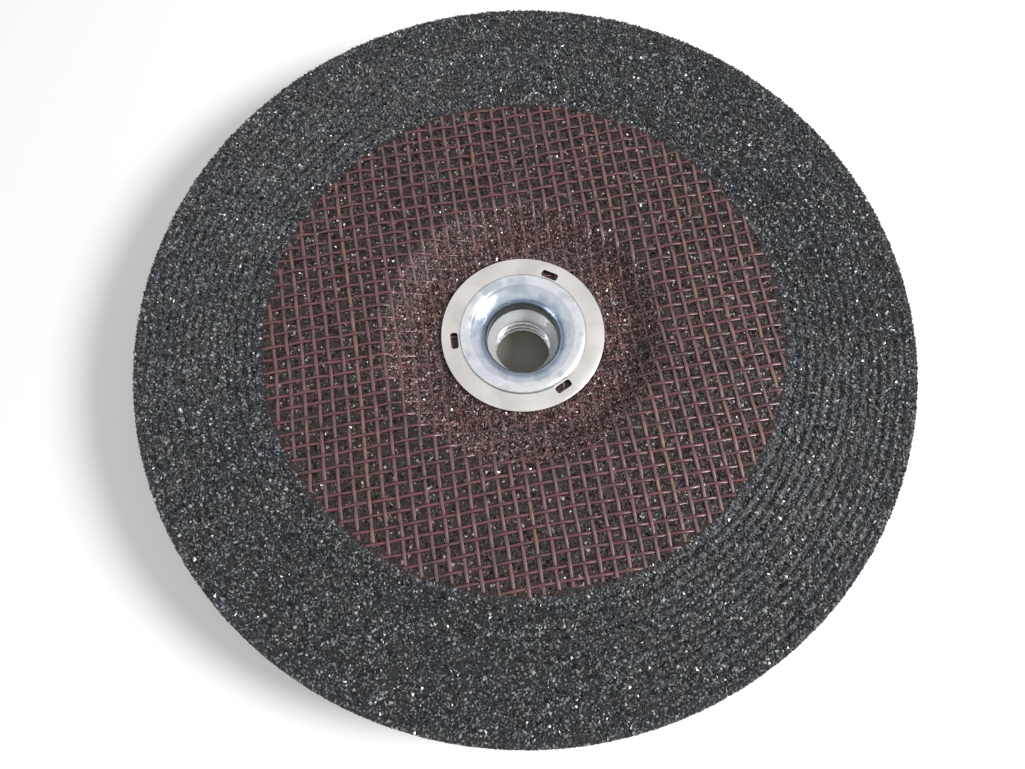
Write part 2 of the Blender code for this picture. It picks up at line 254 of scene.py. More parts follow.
class GrindingDisc(bpy.types.PropertyGroup):
    """All sizes and colours of the model."""

    disc: bpy.props.PointerProperty(type=DiscSizes, name="Disc", description="The moulded disc")
    net: bpy.props.PointerProperty(type=NetSizes, name="Net", description="The woven net")
    metal: bpy.props.PointerProperty(type=MetalSizes, name="Metal", description="The ring and the hub")
    stage: bpy.props.PointerProperty(type=StageSizes, name="Stage", description="Floor, light and camera")


def set_inputs(tree, node, inputs):
    """Set or link a node's inputs, named by name or number; a node stands for its first output in use."""
    for socket, value in inputs.items():
        if isinstance(value, bpy.types.Node):
            value = next(output for output in value.outputs if output.enabled)
        if isinstance(value, bpy.types.NodeSocket):
            tree.links.new(value, node.inputs[socket])
        else:
            node.inputs[socket].default_value = value


def add_node(tree, kind, inputs=None, **settings):
    """Add a node, set its properties, then set or link its inputs."""
    node = tree.nodes.new(kind)
    for name, value in settings.items():
        setattr(node, name, value)
    set_inputs(tree, node, inputs or {})
    return node


def new_material(name, **sockets):
    """Start a material: its tree, its Principled shader with the given constants, and the shaded place."""
    material = bpy.data.materials.new(name)
    material.use_nodes = True
    tree = material.node_tree
    shader = tree.nodes["Principled BSDF"]
    for socket, value in sockets.items():
        shader.inputs[socket.replace("_", " ")].default_value = value
    place = add_node(tree, "ShaderNodeTexCoord").outputs["Object"]
    return material, tree, shader, place


def ramp(tree, factor, stops):
    """A colour ramp with (place, hex code) stops; gives its colour output."""
    node = add_node(tree, "ShaderNodeValToRGB", {"Fac": factor})
    elements = node.color_ramp.elements
    while len(elements) < len(stops):
        elements.new(1.0)
    for element, (place, code) in zip(elements, stops):
        element.position = place
        element.color = linear(code)
    return node.outputs["Color"]


def axis_distance(tree, place):
    """Distance of a place from the disc's axis."""
    flat = add_node(tree, "ShaderNodeVectorMath", {0: place, 1: (1.0, 1.0, 0.0)}, operation="MULTIPLY")
    return add_node(tree, "ShaderNodeVectorMath", {0: flat}, operation="LENGTH")


def place_object(name, mesh, *materials):
    """Link a mesh as an object at the origin and give it its materials."""
    piece = bpy.data.objects.new(name, mesh)
    bpy.context.scene.collection.objects.link(piece)
    for material in materials:
        mesh.materials.append(material)
    return piece


def mesh_from(name, points, faces=(), edges=()):
    """A mesh from arrays of points and of faces or edges."""
    mesh = bpy.data.meshes.new(name)
    mesh.from_pydata(np.asarray(points).tolist(), np.asarray(edges).tolist(), np.asarray(faces).tolist())
    mesh.update()
    return mesh


def with_attributes(mesh, **attributes):
    """Give a mesh's points named values."""
    for name, values in attributes.items():
        data = mesh.attributes.new(name, "FLOAT", "POINT").data
        data.foreach_set("value", np.array(values, dtype=np.float32))
    return mesh


def grid_faces(rows, steps, closed):
    """Quads between neighbouring rows of a surface that closes round the axis."""
    last = rows if closed else rows - 1
    row = np.repeat(np.arange(last), steps)
    step = np.tile(np.arange(steps), last)
    next_row, next_step = (row + 1) % rows, (step + 1) % steps
    return np.stack([
        row * steps + step, row * steps + next_step, next_row * steps + next_step, next_row * steps + step
    ], axis=1)


def turned(name, outline, steps, closed=True):
    """Turn an outline of (radius, height) rows; each may be a number or an array round the axis.

    A closed outline runs down the outer side and back up the inner side.
    """
    angles = 2 * np.pi * np.arange(steps) / steps
    radius = np.stack([np.broadcast_to(row[0], steps) for row in outline])
    height = np.stack([np.broadcast_to(row[1], steps) for row in outline])
    points = np.stack([radius * np.cos(angles), radius * np.sin(angles), height], axis=2).reshape(-1, 3)
    faces = grid_faces(len(outline), steps, closed)[:, ::-1]
    return mesh_from(name, points, faces)


def smooth(mesh):
    """Shade smooth, with crisp edges where faces meet sharply."""
    mesh.shade_smooth()
    mesh.set_sharp_from_angle(angle=SMOOTH_ANGLE)
    return mesh


def baked(piece, tree, **inputs):
    """Run a geometry node tree on a piece and keep the result as its plain mesh."""
    modifier = piece.modifiers.new(tree.name, "NODES")
    modifier.node_group = tree
    sockets = {item.name: item.identifier for item in tree.interface.items_tree if item.in_out == "INPUT"}
    for name, value in inputs.items():
        modifier[sockets[name.replace("_", " ")]] = value
    apply_modifiers(piece)
    cell_map(piece.data)


def cell_map(mesh):
    """Give each face its own cell of the OFBake map, as the faces are tiny."""
    counts = np.empty(len(mesh.polygons), dtype=np.int32)
    mesh.polygons.foreach_get("loop_total", counts)
    face = np.repeat(np.arange(counts.size), counts)
    corner = np.arange(face.size) - np.repeat(np.cumsum(counts) - counts, counts)
    turn = math.tau * corner / counts[face]
    cells = math.ceil(math.sqrt(counts.size))
    u = (face % cells + 0.5 + 0.45 * np.cos(turn)) / cells
    v = (face // cells + 0.5 + 0.45 * np.sin(turn)) / cells
    mesh.uv_layers.new(name="OFBake").data.foreach_set("uv", np.stack([u, v], axis=1).ravel())


def apply_modifiers(piece):
    """Put the evaluated mesh in place of the piece's own and drop its modifiers."""
    evaluated = piece.evaluated_get(bpy.context.evaluated_depsgraph_get())
    mesh = bpy.data.meshes.new_from_object(evaluated)
    piece.modifiers.clear()
    piece.data = mesh
    mesh.name = piece.name
    return piece


def fit(piece, slot, *nodes):
    """Ride on the disc and stand for the named solids; the slot is not used."""
    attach(piece, BODY)
    for node in nodes:
        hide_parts(node)


def net_top(sizes, radius):
    """Height of the net's upper side, which runs down the slope onto the recess floor."""
    share = np.clip((radius - sizes.floor_radius) / sizes.slope_width, 0.0, 1.0)
    return sizes.face_height - sizes.recess_depth * (1 + np.cos(np.pi * share)) / 2


def groove(sizes, radius):
    """Depth of the concentric grooves at a radius."""
    turns = (radius - sizes.groove_start) / sizes.groove_pitch
    last = sizes.wheel_radius - sizes.rim_round - sizes.groove_pitch / 2
    inside = (radius > sizes.groove_start) & (radius < last)
    return np.where(inside, sizes.groove_depth * (1 - np.cos(2 * np.pi * turns)) / 2, 0.0)


def resin_depth(radius):
    """How far the resin and grain lie below the net's top: little on the slope and the floor."""
    share = np.clip((radius - SHALLOW_RADIUS) / DEEPENING_WIDTH, 0.0, 1.0)
    return SHALLOW_RESIN + (DEEP_RESIN - SHALLOW_RESIN) * share


def woven_place(net, warp_number, weft_number):
    """Where a point of the weave lies, given in yarn numbers; beside the dish the yarns are drawn in."""
    across = net.warp_start + warp_number * net.warp_pitch
    along = net.weft_start + weft_number * net.weft_pitch
    inwards_across = net.draw * np.tanh(across / net.draw_width) * np.exp(-((along / net.draw_width) ** 2))
    inwards_along = net.draw * np.tanh(along / net.draw_width) * np.exp(-((across / net.draw_width) ** 2))
    across, along = across - inwards_across, along - inwards_along
    skew = math.cos(net.warp_turn - net.weft_turn)
    x = (across * math.cos(net.weft_turn) - along * math.sin(net.warp_turn)) / skew
    y = (across * math.sin(net.weft_turn) + along * math.cos(net.warp_turn)) / skew
    return x, y


def wavy(x, y, scale, seed):
    """Smooth noise from -1 to 1 over arrays of places, with bumps about a scale wide."""
    spots = zip((x / scale).ravel(), (y / scale).ravel())
    return np.array([noise.noise(Vector((a, b, seed))) for a, b in spots]).reshape(x.shape)


def body_outline(sizes, net_radius, steps):
    """Rows of the moulded disc: front from the hole out, rim, back, and the hole's wall."""
    angles = 2 * np.pi * np.arange(steps) / steps
    edge = sizes.wheel_radius - sizes.rim_cover
    flat_end = edge - sizes.rim_round
    slope_end = sizes.floor_radius + sizes.slope_width
    boss_end = sizes.boss_radius + sizes.back_slope_width
    face_height = sizes.face_height - sizes.grain_cover
    back_height = sizes.face_height - sizes.rim_thickness
    corner_turns = [math.pi / 2 * i / 3 for i in range(1, 4)]
    front = np.concatenate([
        np.linspace(sizes.hole_radius, sizes.floor_radius, 14, endpoint=False),
        np.linspace(sizes.floor_radius, slope_end, 16, endpoint=False),
        np.linspace(slope_end, net_radius, 24, endpoint=False),
        np.linspace(net_radius, flat_end, 72),
    ])
    back = np.concatenate([
        np.linspace(flat_end, boss_end, 54)[1:],
        np.linspace(boss_end, sizes.boss_radius, 13)[1:],
        np.linspace(sizes.boss_radius, sizes.hole_radius, 10)[1:],
    ])
    rows = []
    for radius in front:
        under_net = net_top(sizes, radius) - resin_depth(radius)
        height = under_net if radius < net_radius else face_height - groove(sizes, radius)
        rough = wavy(radius * np.cos(angles), radius * np.sin(angles), WAVE_WIDTH, 1.0)
        rows.append((radius, height + FACE_WAVE * rough))
    for turn in corner_turns:
        across, down = sizes.rim_round * math.sin(turn), sizes.rim_round * (1 - math.cos(turn))
        rows.append((flat_end + across, face_height - down))
    for height in np.linspace(face_height - sizes.rim_round, back_height + sizes.rim_round, 9)[1:]:
        rough = wavy(angles * edge, np.full(steps, height), WAVE_WIDTH, 2.0)
        rows.append((edge + RIM_WAVE * rough, height))
    for turn in corner_turns:
        inwards, up = sizes.rim_round * (1 - math.cos(turn)), sizes.rim_round * (1 - math.sin(turn))
        rows.append((edge - inwards, back_height + up))
    for radius in back:
        share = min(max((radius - sizes.boss_radius) / sizes.back_slope_width, 0.0), 1.0)
        height = back_height - (back_height - sizes.boss_height) * (1 + math.cos(math.pi * share)) / 2
        rough = wavy(radius * np.cos(angles), radius * np.sin(angles), BACK_WAVE_WIDTH, 3.0)
        rows.append((radius, height + BACK_WAVE * (1 + rough)))
    front_floor = net_top(sizes, sizes.hole_radius) - resin_depth(sizes.hole_radius)
    for height in np.linspace(sizes.boss_height, front_floor, 5)[1:-1]:
        rows.append((sizes.hole_radius, height))
    return rows


def net_print(tree, net, place):
    """Two sets of lines that cross like the net's yarns."""
    lines = []
    for pitch, turn in ((net.warp_pitch, net.warp_turn), (net.weft_pitch, net.weft_turn + math.pi / 2)):
        turned_place = add_node(tree, "ShaderNodeMapping", {"Vector": place, "Rotation": (0.0, 0.0, -turn)})
        wave = add_node(tree, "ShaderNodeTexWave", {
            "Vector": turned_place, "Scale": math.tau / 20 / pitch, "Distortion": 0.4,
        })
        line = add_node(tree, "ShaderNodeMapRange", {"Value": wave, "From Min": 0.62, "From Max": 0.86})
        lines.append(line)
    return add_node(tree, "ShaderNodeMath", {0: lines[0], 1: lines[1]}, operation="MAXIMUM")


def abrasive_material(sizes, net):
    """Silicon carbide and aluminium oxide grain in phenolic resin, pressed in a hot mould.

    The front is the resin between the crystals, and red resin has soaked in under the net. On the
    back each cell is a grain, and the mould has printed a second net into it.
    """
    material, tree, shader, place = new_material("bonded_abrasive_grain")
    height = add_node(tree, "ShaderNodeSeparateXYZ", {"Vector": place}).outputs["Z"]
    within = add_node(tree, "ShaderNodeMath", {
        0: axis_distance(tree, place), 1: net.radius,
    }, operation="LESS_THAN")
    behind = add_node(tree, "ShaderNodeMath", {
        0: height, 1: sizes.face_height - sizes.rim_thickness + BACK_SKIN,
    }, operation="LESS_THAN")
    bend = add_node(tree, "ShaderNodeTexNoise", {
        "Vector": place, "Scale": 0.6 / sizes.grain_size, "Detail": 2.0,
    })
    bent_place = add_node(tree, "ShaderNodeVectorMath", {
        0: bend.outputs["Color"], 1: (sizes.grain_size,) * 3, 2: place,
    }, operation="MULTIPLY_ADD")
    cells = add_node(tree, "ShaderNodeTexVoronoi", {
        "Vector": bent_place, "Scale": 1 / sizes.grain_size,
    }, distance="MANHATTAN")
    tone = add_node(tree, "ShaderNodeSeparateColor", {"Color": cells.outputs["Color"]})
    grain = ramp(tree, tone, [
        (0.0, "1C1D1E"), (0.35, "2E3033"), (0.62, "3D4043"), (0.88, "54575B"), (1.0, "777A80"),
    ])
    resin = add_node(tree, "ShaderNodeMix", {
        0: within, 6: tuple(sizes.resin), 7: tuple(sizes.red_resin),
    }, data_type="RGBA")
    joints = add_node(tree, "ShaderNodeMapRange", {"Value": cells, "From Min": 0.50, "From Max": 0.75})
    in_front = add_node(tree, "ShaderNodeMath", {0: 1.0, 1: behind}, operation="SUBTRACT")
    filled = add_node(tree, "ShaderNodeMath", {0: joints, 1: in_front}, operation="MAXIMUM")
    with_resin = add_node(tree, "ShaderNodeMix", {0: filled, 6: grain, 7: resin}, data_type="RGBA")
    crossed = net_print(tree, net, place)
    printed = add_node(tree, "ShaderNodeMath", {0: crossed, 1: within}, operation="MULTIPLY")
    back_print = add_node(tree, "ShaderNodeMath", {0: printed, 1: behind}, operation="MULTIPLY")
    strength = add_node(tree, "ShaderNodeMath", {0: back_print, 1: 0.75}, operation="MULTIPLY")
    netted = add_node(tree, "ShaderNodeMix", {
        0: strength, 6: with_resin, 7: tuple(sizes.back_net),
    }, data_type="RGBA")
    raised = add_node(tree, "ShaderNodeMath", {0: back_print, 1: cells}, operation="SUBTRACT")
    relief = add_node(tree, "ShaderNodeBump", {"Height": raised, "Strength": 0.7, "Distance": 0.00022})
    dull = add_node(tree, "ShaderNodeMapRange", {"Value": behind, "To Min": 0.43, "To Max": 0.75})
    gloss = add_node(tree, "ShaderNodeMapRange", {"Value": behind, "To Min": 0.42, "To Max": 0.15})
    set_inputs(tree, shader, {
        "Base Color": netted, "Roughness": dull, "Specular IOR Level": gloss, "Normal": relief,
    })
    return material


# Red resin run down beside the yarns, with painted shade there: darker and redder than the grain
FILM_AND_SHADE_TONES = [(0.0, "201516"), (0.3, "3A2627"), (0.7, "573C3D"), (0.95, "6E5253"), (1.0, "B09A9C")]
OPEN_TONES = [
    (0.0, "232528"), (0.12, "424447"), (0.42, "6A6D70"), (0.74, "808286"), (0.91, "94979C"), (1.0, "CED1D6"),
]
# Grain in the net's openings: darker for its resin coat and for painted shade, as the openings lie sunk
# between the yarns
COATED_SHADED_TONES = [
    (0.0, "151311"), (0.25, "292622"), (0.50, "423E3A"), (0.76, "605B56"), (0.92, "8E8B86"), (1.0, "E2E4E0"),
]
BURIED_TONES = [
    (0.0, "352826"), (0.22, "62504C"), (0.60, "846F6B"), (0.88, "9A8682"), (0.97, "B4A6A2"), (1.0, "DCD0D0"),
]
# Greenish and reddish grains are few, so the middle of the range is white
GRAIN_TINTS = [
    (0.0, "CCDCC4"), (0.03, "CCDCC4"), (0.06, "FFFFFF"), (0.94, "FFFFFF"), (0.97, "E8D0C8"), (1.0, "E8D0C8"),
]


def crystal_material(name, tones, patch_colours, coat):
    """Broken abrasive crystals: dark, and a few of them glassy, so single facets flash.

    Each grain has its own tone and tint, its share of red resin and painted shade beside the yarns, and the
    way its bed faces, held in attributes of the mesh. The coat of cured resin bends its facets' shading
    towards the bed.
    """
    material, tree, shader, place = new_material(name, Roughness=0.23)
    tone = add_node(tree, "ShaderNodeAttribute", attribute_name="tone").outputs["Fac"]
    tint = add_node(tree, "ShaderNodeAttribute", attribute_name="tint").outputs["Fac"]
    film = add_node(tree, "ShaderNodeAttribute", attribute_name="film").outputs["Fac"]
    bed = add_node(tree, "ShaderNodeAttribute", attribute_name="bed").outputs["Vector"]
    patches = add_node(tree, "ShaderNodeTexNoise", {"Vector": place, "Scale": 1 / 0.006, "Detail": 3.0})
    patch = ramp(tree, patches, [(0.40, patch_colours[0]), (0.60, patch_colours[1])])
    tinted = add_node(tree, "ShaderNodeMix", {
        0: 1.0, 6: ramp(tree, tone, tones), 7: ramp(tree, tint, GRAIN_TINTS),
    }, data_type="RGBA", blend_type="MULTIPLY")
    patched = add_node(tree, "ShaderNodeMix", {
        0: 1.0, 6: tinted, 7: patch,
    }, data_type="RGBA", blend_type="MULTIPLY")
    # Red resin and painted shade beside the yarns
    filmed = add_node(tree, "ShaderNodeMix", {
        0: film, 6: patched, 7: ramp(tree, tone, FILM_AND_SHADE_TONES),
    }, data_type="RGBA")
    shine = add_node(tree, "ShaderNodeMapRange", {
        "Value": tint, "From Min": 0.50, "From Max": 0.85, "To Min": 0.15, "To Max": 0.95,
    })
    facet = add_node(tree, "ShaderNodeNewGeometry").outputs["Normal"]
    coated = add_node(tree, "ShaderNodeMix", {0: coat, 4: facet, 5: bed}, data_type="VECTOR")
    rounded = add_node(tree, "ShaderNodeVectorMath", {0: coated}, operation="NORMALIZE")
    pits = add_node(tree, "ShaderNodeTexNoise", {"Vector": place, "Scale": 1 / 0.0004, "Detail": 2.0})
    relief = add_node(tree, "ShaderNodeBump", {
        "Height": pits, "Strength": 0.4, "Distance": 0.00008, "Normal": rounded,
    })
    set_inputs(tree, shader, {"Base Color": filmed, "Specular IOR Level": shine, "Normal": relief})
    return material


def new_geometry_tree(name, sockets):
    """Start a geometry node tree with the named inputs; gives the tree and its input node."""
    tree = bpy.data.node_groups.new(name, "GeometryNodeTree")
    tree.interface.new_socket("Geometry", in_out="INPUT", socket_type="NodeSocketGeometry")
    for socket, kind in sockets.items():
        tree.interface.new_socket(socket, in_out="INPUT", socket_type=f"NodeSocket{kind}")
    tree.interface.new_socket("Geometry", in_out="OUTPUT", socket_type="NodeSocketGeometry")
    return tree, tree.nodes.new("NodeGroupInput")


def end_geometry_tree(tree, given, geometry, smooth_faces):
    """End a tree: real geometry in the given material."""
    real = add_node(tree, "GeometryNodeRealizeInstances", {"Geometry": geometry})
    shaded = add_node(tree, "GeometryNodeSetShadeSmooth", {"Geometry": real, "Shade Smooth": smooth_faces})
    dressed = add_node(tree, "GeometryNodeSetMaterial", {
        "Geometry": shaded, "Material": given.outputs["Material"],
    })
    add_node(tree, "NodeGroupOutput", {"Geometry": dressed})
    return tree


def grain_tree():
    """Scatters broken crystals over a surface, each about half sunk in it.

    A crystal is the hull of a few random points; the kinds are picked from at random.
    """
    tree, given = new_geometry_tree("scattered_grain", {
        "Spacing": "Float", "Size": "Float", "Least": "Float", "Lift": "Float", "Seed": "Int",
        "Material": "Material",
    })
    scatter = add_node(tree, "GeometryNodeDistributePointsOnFaces", {
        "Mesh": given.outputs["Geometry"], "Distance Min": given.outputs["Spacing"],
        "Density Max": MOST_GRAINS, "Seed": given.outputs["Seed"],
    }, distribute_method="POISSON")
    facing = add_node(tree, "GeometryNodeStoreNamedAttribute", {
        "Geometry": scatter, "Name": "bed", "Value": scatter.outputs["Normal"],
    }, data_type="FLOAT_VECTOR", domain="POINT")
    above = add_node(tree, "ShaderNodeVectorMath", {
        0: scatter.outputs["Normal"], "Scale": given.outputs["Lift"],
    }, operation="SCALE")
    lifted = add_node(tree, "GeometryNodeSetPosition", {"Geometry": facing, "Offset": above})
    kinds = add_node(tree, "GeometryNodeJoinGeometry")
    for kind in range(CRYSTAL_KINDS):
        spread = add_node(tree, "FunctionNodeRandomValue", {
            0: (-1.0, -1.0, -1.0), 1: (1.0, 1.0, 1.0), "Seed": SEED + kind,
        }, data_type="FLOAT_VECTOR")
        on_ball = add_node(tree, "ShaderNodeVectorMath", {0: spread}, operation="NORMALIZE")
        squashed = add_node(tree, "ShaderNodeVectorMath", {
            0: on_ball, 1: CRYSTAL_SQUASH,
        }, operation="MULTIPLY")
        corners = add_node(tree, "GeometryNodePoints", {"Count": CRYSTAL_CORNERS, "Position": squashed})
        hull = add_node(tree, "GeometryNodeConvexHull", {"Geometry": corners})
        single = add_node(tree, "GeometryNodeGeometryToInstance", {"Geometry": hull})
        set_inputs(tree, kinds, {"Geometry": single})
    pick = add_node(tree, "FunctionNodeRandomValue", {
        4: 0, 5: CRYSTAL_KINDS - 1, "Seed": SEED + 20,
    }, data_type="INT")
    turn = add_node(tree, "FunctionNodeRandomValue", {
        0: (0.0, 0.0, 0.0), 1: (math.tau, math.tau, math.tau), "Seed": SEED + 21,
    }, data_type="FLOAT_VECTOR")
    share = add_node(tree, "FunctionNodeRandomValue", {
        2: given.outputs["Least"], 3: 1.0, "Seed": SEED + 22,
    }, data_type="FLOAT")
    size = add_node(tree, "ShaderNodeMath", {0: share, 1: given.outputs["Size"]}, operation="MULTIPLY")
    last = add_node(tree, "GeometryNodeInstanceOnPoints", {
        "Points": lifted, "Instance": kinds, "Pick Instance": True, "Instance Index": pick,
        "Rotation": turn, "Scale": size,
    })
    for offset, name in enumerate(("tone", "tint")):
        value = add_node(tree, "FunctionNodeRandomValue", {
            2: 0.0, 3: 1.0, "Seed": SEED + 30 + offset,
        }, data_type="FLOAT")
        last = add_node(tree, "GeometryNodeStoreNamedAttribute", {
            "Geometry": last, "Name": name, "Value": value,
        }, data_type="FLOAT", domain="INSTANCE")
    return end_geometry_tree(tree, given, last, False)


def yarn_tree():
    """Sweeps a flat oval yarn along each line of the mesh, as wide as its own share says."""
    tree, given = new_geometry_tree("swept_yarn", {
        "Width": "Float", "Height": "Float", "Sides": "Int", "Material": "Material",
    })
    lines = add_node(tree, "GeometryNodeMeshToCurve", {"Mesh": given.outputs["Geometry"]})
    upright = add_node(tree, "GeometryNodeSetCurveNormal", {"Curve": lines}, mode="Z_UP")
    circle = add_node(tree, "GeometryNodeCurvePrimitiveCircle", {
        "Resolution": given.outputs["Sides"], "Radius": 0.5,
    })
    oval_size = add_node(tree, "ShaderNodeCombineXYZ", {
        "X": given.outputs["Width"], "Y": given.outputs["Height"], "Z": 1.0,
    })
    oval = add_node(tree, "GeometryNodeTransform", {"Geometry": circle, "Scale": oval_size})
    share = add_node(tree, "GeometryNodeInputNamedAttribute", {"Name": "share"}, data_type="FLOAT")
    swept = add_node(tree, "GeometryNodeCurveToMesh", {
        "Curve": upright, "Profile Curve": oval, "Scale": share, "Fill Caps": True,
    })
    return end_geometry_tree(tree, given, swept, True)


def yarn_lines(name, disc, net, along_weft):
    """Lines of one set of yarns: over and under the other set, following the dish."""
    random = np.random.default_rng(SEED + along_weft)
    pitch = net.warp_pitch if along_weft else net.weft_pitch
    reach = int(net.radius / min(net.warp_pitch, net.weft_pitch)) + 2
    sway = -WEFT_SWAY if along_weft else WARP_SWAY
    steps = np.linspace(-reach, reach, 2 * reach * YARN_STEPS + 1)
    points, edges, shares, tones = [], [], [], []
    for number in range(-reach, reach + 1):
        tone = random.uniform()
        end = net.radius - random.uniform(0.0, FRAYED_END)
        stray = net.wander / pitch * wavy(steps, np.full(steps.size, number * 3.7 + along_weft), 3.0, 4.0)
        numbers = (steps, number + stray) if along_weft else (number + stray, steps)
        x, y = woven_place(net, *numbers)
        radius = np.hypot(x, y)
        crossing = np.cos(np.pi * (steps + number))
        height = net_top(disc, radius) - net.middle + sway * crossing
        thick = 1 + 0.24 * wavy(steps, np.full(steps.size, number * 5.3), 0.9, 5.0)
        kept = (radius > net.inner_radius) & (radius < end)
        for run in np.split(np.arange(steps.size), np.flatnonzero(np.diff(kept)) + 1):
            if kept[run[0]] and run.size > YARN_STEPS:
                edges += [(len(points) + i, len(points) + i + 1) for i in range(run.size - 1)]
                points += list(zip(x[run], y[run], height[run]))
                shares += list(thick[run])
                tones += [tone] * run.size
    return with_attributes(mesh_from(name, points, edges=edges), share=shares, tone=tones)


WARP_TONES = [
    (0.28, "3E302E"), (0.37, "66484A"), (0.45, "78484F"), (0.52, "58433E"), (0.59, "684A4A"),
    (0.66, "7C5A46"), (0.76, "806460"),
]
WEFT_TONES = [(0.28, "321C1B"), (0.40, "602630"), (0.48, "462826"), (0.58, "6A2E38"), (0.72, "624036")]


def yarn_material(name, yarn_colour, tones, roughness, gloss):
    """Glass yarn soaked in phenolic resin and cured: its tone changes from yarn to yarn and along it."""
    material, tree, shader, place = new_material(name, Roughness=roughness, Specular_IOR_Level=gloss)
    tone = add_node(tree, "ShaderNodeAttribute", attribute_name="tone").outputs["Fac"]
    patches = add_node(tree, "ShaderNodeTexNoise", {"Vector": place, "Scale": 1 / 0.0022, "Detail": 4.0})
    mixed = add_node(tree, "ShaderNodeMix", {0: 0.65, 2: tone, 3: patches}, data_type="FLOAT")
    coloured = add_node(tree, "ShaderNodeMix", {
        0: 0.75, 6: tuple(yarn_colour), 7: ramp(tree, mixed, tones),
    }, data_type="RGBA")
    fibres = add_node(tree, "ShaderNodeTexNoise", {"Vector": place, "Scale": 1 / 0.00022, "Detail": 2.0})
    relief = add_node(tree, "ShaderNodeBump", {"Height": fibres, "Strength": 0.5, "Distance": 0.00006})
    set_inputs(tree, shader, {"Base Color": coloured, "Normal": relief})
    return material


def opening_patches(disc, net, inner):
    """A small patch of surface in each opening of the net outside a radius, to hold its grain.

    The attribute film is 1 beside the yarns, where red resin has run down and shade is painted, and 0 in the
    middle.
    """
    reach = int(net.radius / min(net.warp_pitch, net.weft_pitch)) + 2
    numbers = np.arange(-reach, reach) + 0.5
    warp_number, weft_number = (grid.ravel() for grid in np.meshgrid(numbers, numbers))
    half_across = (1 - net.warp_width / net.warp_pitch) / 2
    half_along = (1 - net.weft_width / net.weft_pitch) / 2
    x, y = woven_place(net, warp_number, weft_number)
    radius = np.hypot(x, y)
    kept = (radius > inner) & (radius < net.radius + net.warp_pitch / 2)
    shares = (-1.0, -0.5, 0.5, 1.0)
    points, faces, film = [], [], []
    for column, row in zip(warp_number[kept], weft_number[kept]):
        first = len(points)
        for i in shares:
            for j in shares:
                x, y = woven_place(net, column + i * half_across, row + j * half_along)
                radius = math.hypot(x, y)
                points.append((x, y, float(net_top(disc, radius) - resin_depth(radius))))
                film.append(float(max(abs(i), abs(j)) == 1.0))
        faces += [
            (first + 4 * i + j, first + 4 * i + 4 + j, first + 4 * i + 5 + j, first + 4 * i + 1 + j)
            for i in range(3) for j in range(3)
        ]
    return with_attributes(mesh_from("net_openings", points, faces=faces), film=film)


def open_band(sizes, inner, outer):
    """The grooved band between two radii, as a surface to hold grain."""
    rows = max(int((outer - inner) / BAND_ROW), 2)
    outline = [
        (radius, sizes.face_height - sizes.grain_cover - float(groove(sizes, radius)))
        for radius in np.linspace(inner, outer, rows)
    ]
    return turned("band", outline, BAND_STEPS, closed=False)


def recess_bed(sizes, inner, outer):
    """The recess's floor and slope, as a surface to hold the grain that buries the net there."""
    outline = []
    for radius in np.linspace(inner, outer, 40):
        share = max(0.0, (radius - sizes.floor_radius) / (outer - sizes.floor_radius))
        cover = sizes.recess_cover + (resin_depth(outer) - sizes.recess_cover) * share ** 2
        outline.append((radius, float(net_top(sizes, radius)) - cover))
    return turned("recess", outline, RING_STEPS, closed=False)


def rim_band(sizes):
    """The wheel's edge, as a surface to hold grain."""
    edge = sizes.wheel_radius - sizes.rim_cover
    low = sizes.face_height - sizes.rim_thickness + BED_OVERLAP
    high = sizes.face_height - sizes.grain_cover
    return turned("rim", [(edge, high), (edge, (low + high) / 2), (edge, low)], BAND_STEPS, closed=False)


def keep_inside(piece, sizes):
    """Press the grains flat at the face and the rim, as the mould does."""
    mesh = piece.data
    places = np.empty(3 * len(mesh.vertices), dtype=np.float32)
    mesh.vertices.foreach_get("co", places)
    places = places.reshape(-1, 3)
    places[:, 2] = np.minimum(places[:, 2], sizes.face_height)
    radius = np.hypot(places[:, 0], places[:, 1])
    places[:, :2] *= np.minimum(1.0, sizes.wheel_radius / np.maximum(radius, 1e-6))[:, None]
    mesh.vertices.foreach_set("co", places.ravel())
    mesh.update()


def hexagon(radius_limit, angles, width):
    """Radius of a hexagon with its flats facing X, cut to a round limit."""
    from_flat = (angles + math.pi / 6) % (math.pi / 3) - math.pi / 6
    return np.minimum(width / 2 / np.cos(from_flat), radius_limit)


def thread_end(sizes):
    """Height where the thread ends and the countersink starts."""
    depth = sizes.well_radius - WELL_TAPER - sizes.minor_radius
    return sizes.well_foot - depth / math.tan(CHAMFER_ANGLE)


def thread_rows(sizes, low, high, steps):
    """Rows of the bore's right-hand thread, which fades out near both ends."""
    angles = 2 * np.pi * np.arange(steps) / steps
    depth = sizes.major_radius - sizes.minor_radius
    rows = []
    for height in np.linspace(low, high, int((high - low) / THREAD_ROW)):
        turn = (height / sizes.thread_pitch - angles / (2 * np.pi)) % 1.0
        flank = np.clip(1.35 * (1 - np.abs(2 * turn - 1)) - 0.12, 0.0, 1.0)
        fade = min(1.0, (high - height) / THREAD_FADE, (height - low) / THREAD_FADE)
        rows.append((sizes.minor_radius + depth * flank * fade, height))
    return rows


def lip_rows(sizes):
    """The rolled lip's outer side and the flare that runs down to the tube."""
    under = sizes.ring_top + FIT_GAP
    inset = sizes.lip_radius - sizes.crest_radius
    flare = sizes.tube_radius + FLARE_WIDTH
    flare_top = sizes.ring_top - 0.0001
    rows = []
    for i in range(11):
        turn = math.pi / 2 * i / 10
        height = under + (sizes.lip_crest - under) * math.cos(turn)
        rows.append((sizes.crest_radius + inset * math.sin(turn), height))
    rows += [(flare + 0.0004, under), (flare, under - 0.00005), (flare, flare_top)]
    for i in range(1, 5):
        turn = math.pi / 2 * i / 4
        rows.append((flare - FLARE_WIDTH * math.sin(turn), flare_top - FLARE_DROP * (1 - math.cos(turn))))
    return rows


